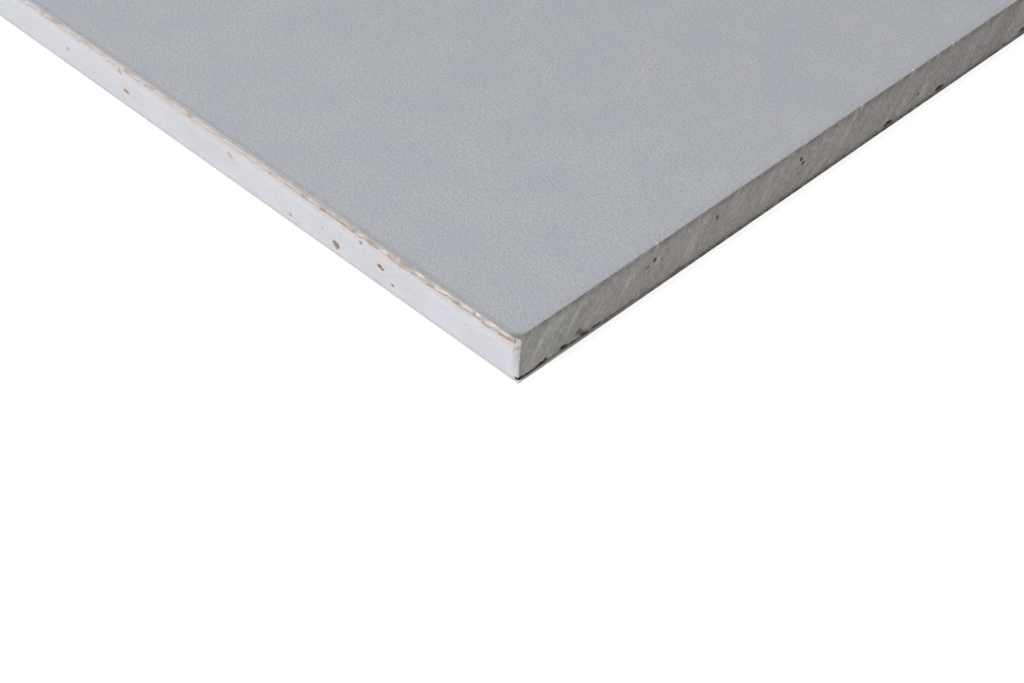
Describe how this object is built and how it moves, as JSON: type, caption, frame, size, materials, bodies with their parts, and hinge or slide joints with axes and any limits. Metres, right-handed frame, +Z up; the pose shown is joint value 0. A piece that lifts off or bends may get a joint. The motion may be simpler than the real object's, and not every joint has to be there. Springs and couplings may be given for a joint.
{
  "type": "drywall sheet",
  "caption": "Gypsum board: cast core between face and back paper, square cut on an end and a long side, tapered paper-bound factory edge opposite.",
  "frame": {"origin": "middle of the sheet's underside, in the plane it rests on", "axes": "+X along the sheet, away from the knife-cut end; +Y across it, towards the tapered factory edge; +Z up out of the face paper"},
  "size_m": [2.4384, 1.2192, 0.0127],
  "materials": {
    "gypsum": "cast gypsum, knife-cut and sawn, matt and slightly dusty",
    "face_paper": "blue-grey face paper, matt, with a fine felt pattern",
    "back_paper": "unbleached grey-brown back paper, matt"
  },
  "bodies": {
    "root": {"gypsum_core": "gypsum", "face_paper": "face_paper", "back_paper": "back_paper"}
  },
  "joints": []
}
